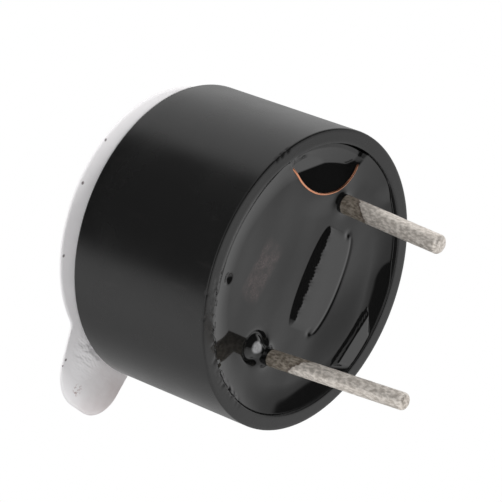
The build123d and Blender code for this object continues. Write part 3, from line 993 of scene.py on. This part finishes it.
def add_label():
    """Thin film whose two skins share slight waves, folded at the tab's root and dented over the hole."""
    outline = label_outline()
    columns = len(outline)
    shares = np.linspace(0, 1, label_rings + 1)[1:] ** 0.7
    middle = np.array(label_shift)
    flat = np.concatenate([middle + s * (outline - middle) for s in shares])
    x, y = np.vstack([middle, flat]).T
    loose = smooth((np.hypot(x, y) - case_radius + 0.1) / 0.8)
    on_tab = smooth((-5.3 - x) / 0.5)
    wave = film_wave * 0.4 * loose * sum(np.sin(a * x + b * y + offset) for a, b, offset in film_waves)
    past_edge = np.hypot(x, y) - case_radius
    fold = np.exp(-((past_edge - fold_place) / fold_width) ** 2) * smooth((-0.3 - y) / 0.4) * on_tab
    wave -= film_wave * fold * (1.2 + np.sin(fold_waves * y))
    wave = np.clip(wave, -0.014, 0.014)
    base = case_height + (0.1 - film_thickness) / 2
    under = base + wave - 0.5 * (0.1 - film_thickness) * (1 - loose)
    dent = film_dent * smooth((sound_hole_radius + 0.25 - np.hypot(x, y)) / 0.35)
    over = under + film_thickness - dent
    vertices = list(zip(x, y, under)) + list(zip(x, y, over))
    second = len(x)
    faces = []
    for first, flip in ((0, True), (second, False)):
        skin = ring_faces(label_rings, columns, first + 1)
        skin += [(first, first + 1 + c, first + 1 + (c + 1) % columns) for c in range(columns)]
        faces += [tuple(reversed(f)) if flip == (len(f) == 3) else f for f in skin]
    edge = 1 + (label_rings - 1) * columns
    for column in range(columns):
        after = (column + 1) % columns
        faces.append((edge + column, edge + after, second + edge + after, second + edge + column))
    return add_piece("label_sticker", vertices, faces, label_film, ["sealing_label"])


# Coil turns
def turns_tree():
    """Rings of wire stacked along Z: one layer of a winding."""
    tree = bpy.data.node_groups.new("coil turns", "GeometryNodeTree")
    for name, kind in (
        ("Layer Radius", "NodeSocketFloat"),
        ("Wire Radius", "NodeSocketFloat"),
        ("Turns", "NodeSocketInt"),
        ("Low", "NodeSocketFloat"),
        ("Material", "NodeSocketMaterial"),
    ):
        tree.interface.new_socket(name, in_out="INPUT", socket_type=kind)
    tree.interface.new_socket("Geometry", in_out="OUTPUT", socket_type="NodeSocketGeometry")
    given = add_node(tree, "NodeGroupInput")
    ring, section = (
        add_node(tree, "GeometryNodeCurvePrimitiveCircle", {"Resolution": sides, "Radius": given.outputs[i]})
        for i, sides in enumerate((coil_segments, wire_sides))
    )
    turn = add_node(
        tree,
        "GeometryNodeCurveToMesh",
        {"Curve": ring.outputs["Curve"], "Profile Curve": section.outputs["Curve"]},
    )
    pitch = add_node(tree, "ShaderNodeMath", {0: given.outputs[1], 1: 2.0}, operation="MULTIPLY")
    start = add_node(tree, "ShaderNodeCombineXYZ", {"Z": given.outputs[3]})
    step = add_node(tree, "ShaderNodeCombineXYZ", {"Z": pitch.outputs[0]})
    places = add_node(
        tree,
        "GeometryNodeMeshLine",
        {"Count": given.outputs[2], "Start Location": start.outputs[0], "Offset": step.outputs[0]},
    )
    copies = add_node(
        tree,
        "GeometryNodeInstanceOnPoints",
        {"Points": places.outputs["Mesh"], "Instance": turn.outputs["Mesh"]},
    )
    real = add_node(tree, "GeometryNodeRealizeInstances", {"Geometry": copies.outputs["Instances"]})
    coated = add_node(
        tree,
        "GeometryNodeSetMaterial",
        {"Geometry": real.outputs["Geometry"], "Material": given.outputs[4]},
    )
    add_node(tree, "NodeGroupOutput", {"Geometry": coated.outputs["Geometry"]})
    return tree


def grown_mesh(tree, values):
    """The plain mesh that a tree makes from named input values."""
    holder = bpy.data.objects.new("holder", bpy.data.meshes.new("holder"))
    bpy.context.scene.collection.objects.link(holder)
    modifier = holder.modifiers.new("grown", "NODES")
    modifier.node_group = tree
    for item in tree.interface.items_tree:
        if item.in_out == "INPUT" and item.name in values:
            modifier[item.identifier] = values[item.name]
    return plain_mesh(holder)


def add_coil():
    """The winding: its outer layer as single turns over a solid core of the layers beneath."""
    wire = wire_radius
    turns = int(coil_height / (2 * wire))
    values = {
        "Layer Radius": (coil_radius - wire) * MM,
        "Wire Radius": wire * MM,
        "Turns": turns,
        "Low": (coil_low + wire) * MM,
        "Material": copper_wire,
    }
    mesh = grown_mesh(turns_tree(), values)
    layer = np.array([v.co for v in mesh.vertices]) / MM
    faces = [tuple(p.vertices) for p in mesh.polygons]
    high = coil_low + coil_height
    profile = [(coil_radius - wire, coil_low), (coil_radius - wire, high), (coil_inner_radius, high)]
    profile.append((coil_inner_radius, coil_low))
    turns_round = np.linspace(0, 2 * math.pi, coil_segments, endpoint=False)
    core = [(r * math.cos(a), r * math.sin(a), z) for r, z in profile for a in turns_round]
    first = len(layer)
    faces += ring_faces(len(profile), coil_segments, first)
    last = first + (len(profile) - 1) * coil_segments
    for column in range(coil_segments):
        after = (column + 1) % coil_segments
        faces.append((last + column, last + after, first + after, first + column))
    vertices = np.vstack([layer, core])
    return add_piece("coil_turns", vertices, faces, copper_wire, ["coil_winding"])


add_case()
add_potting()
wire_loop = add_loop()
add_pin("pin_long", -1, long_pin_radius, long_tin)
short_pin = add_pin("pin_short", 1, short_pin_radius, short_tin)
label_sticker = add_label()
# In the photograph neither the resin nor the case mirrors these three
for piece in (short_pin, wire_loop, label_sticker):
    piece.visible_glossy = False
add_coil()


# Floor, world and lamps
def add_floor():
    """Pale floor at the long pin's tip, open to a view from below."""
    mesh = bpy.data.meshes.new("floor")
    angles = np.linspace(0, 2 * math.pi, floor_segments, endpoint=False)
    rim = [(floor_radius * math.cos(a), floor_radius * math.sin(a), floor_level) for a in angles]
    mesh.from_pydata(rim, [], [tuple(range(len(rim)))])
    floor = bpy.data.objects.new("floor", mesh)
    bpy.context.scene.collection.objects.link(floor)
    # Matt paper: pale grey on its upper face, and not there for light that comes from below
    material, tree = new_material("matt white paper")
    greys = {6: linear("#e9e9ea"), 7: linear("#f1f1f1")}
    fibre = add_node(tree, "ShaderNodeMix", {"Factor": object_noise(tree, 2.0), **greys}, data_type="RGBA")
    paper = add_node(tree, "ShaderNodeBsdfDiffuse", {"Color": fibre})
    clear = add_node(tree, "ShaderNodeBsdfTransparent")
    side = add_node(tree, "ShaderNodeNewGeometry")
    mix = add_node(
        tree,
        "ShaderNodeMixShader",
        {0: side.outputs["Backfacing"], 1: paper, 2: clear},
    )
    add_node(tree, "ShaderNodeOutputMaterial", {"Surface": mix})
    mesh.materials.append(material)
    floor.visible_glossy = False
    floor.visible_shadow = False


# Dark sides of the studio, as reflections see them: direction, half angle, soft edge in degrees and level
dark_sides = [
    ((0.5, -0.1, -0.86), 47, 2, 0.02),
    ((0.5, -0.1, -0.86), 57, 7, 0.55),
    ((0.0056, -0.7986, 0.6018), 38, 6, 0.1),
    ((-0.27, 0.75, 0.6), 50, 18, 0.5),
]


def add_world():
    """White to the camera. Reflections see the same white, with the studio's dark sides in it."""
    world = bpy.data.worlds.new("studio")
    bpy.context.scene.world = world
    world.use_nodes = True
    tree = world.node_tree
    tree.nodes.clear()
    direction = add_node(tree, "ShaderNodeTexCoord").outputs["Generated"]
    seen = None
    for centre, half, soft, dark in dark_sides:
        toward = add_node(
            tree,
            "ShaderNodeVectorMath",
            {0: direction, 1: Vector(centre).normalized()},
            operation="DOT_PRODUCT",
        )
        light = add_node(
            tree,
            "ShaderNodeMapRange",
            {
                "Value": toward.outputs["Value"],
                "From Min": math.cos(math.radians(half + soft)),
                "From Max": math.cos(math.radians(half - soft)),
                "To Min": 1.0,
                "To Max": dark,
            },
            interpolation_type="SMOOTHSTEP",
        ).outputs["Result"]
        seen = light if seen is None else add_node(
            tree, "ShaderNodeMath", {0: seen, 1: light}, operation="MULTIPLY"
        ).outputs[0]
    ray = add_node(tree, "ShaderNodeLightPath")
    mirrored = add_node(
        tree, "ShaderNodeMix", {"Factor": ray.outputs["Is Glossy Ray"], 2: ambient_level, 3: seen}
    )
    straight = add_node(
        tree,
        "ShaderNodeMath",
        {0: ray.outputs["Is Camera Ray"], 1: ray.outputs["Is Transmission Ray"]},
        operation="MAXIMUM",
    )
    level = add_node(
        tree, "ShaderNodeMix", {"Factor": straight.outputs[0], 2: mirrored.outputs[0], 3: 1.0}
    )
    background = add_node(
        tree, "ShaderNodeBackground", {"Color": (1, 1, 1, 1), "Strength": level.outputs[0]}
    )
    add_node(tree, "ShaderNodeOutputWorld", {"Surface": background.outputs[0]})


def add_lamp(name, direction, distance, width, level):
    """A soft square lamp in that direction; a white card facing it would read that level."""
    data = bpy.data.lights.new(name, "AREA")
    data.shape = "SQUARE"
    data.size = width
    data.energy = (math.pi * distance) ** 2 * level
    lamp = bpy.data.objects.new(name, data)
    bpy.context.scene.collection.objects.link(lamp)
    back = Vector(direction).normalized()
    lamp.visible_glossy = False
    lamp.location = back * distance
    lamp.rotation_euler = back.to_track_quat("Z", "Y").to_euler()


add_floor()
add_world()
upper_left = camera_up * 0.9 + camera_back * 0.5 - camera_right * 0.6
add_lamp("fill from below", (0.28, 0.12, -0.95), distance=0.3, width=0.07, level=0.5)
add_lamp("key from the camera's upper left", upper_left, distance=0.3, width=0.16, level=0.25)
add_lamp("overhead", (0.2, -0.35, 0.9), distance=0.35, width=0.2, level=0.06)

bpy.context.scene.view_settings.view_transform = "Standard"
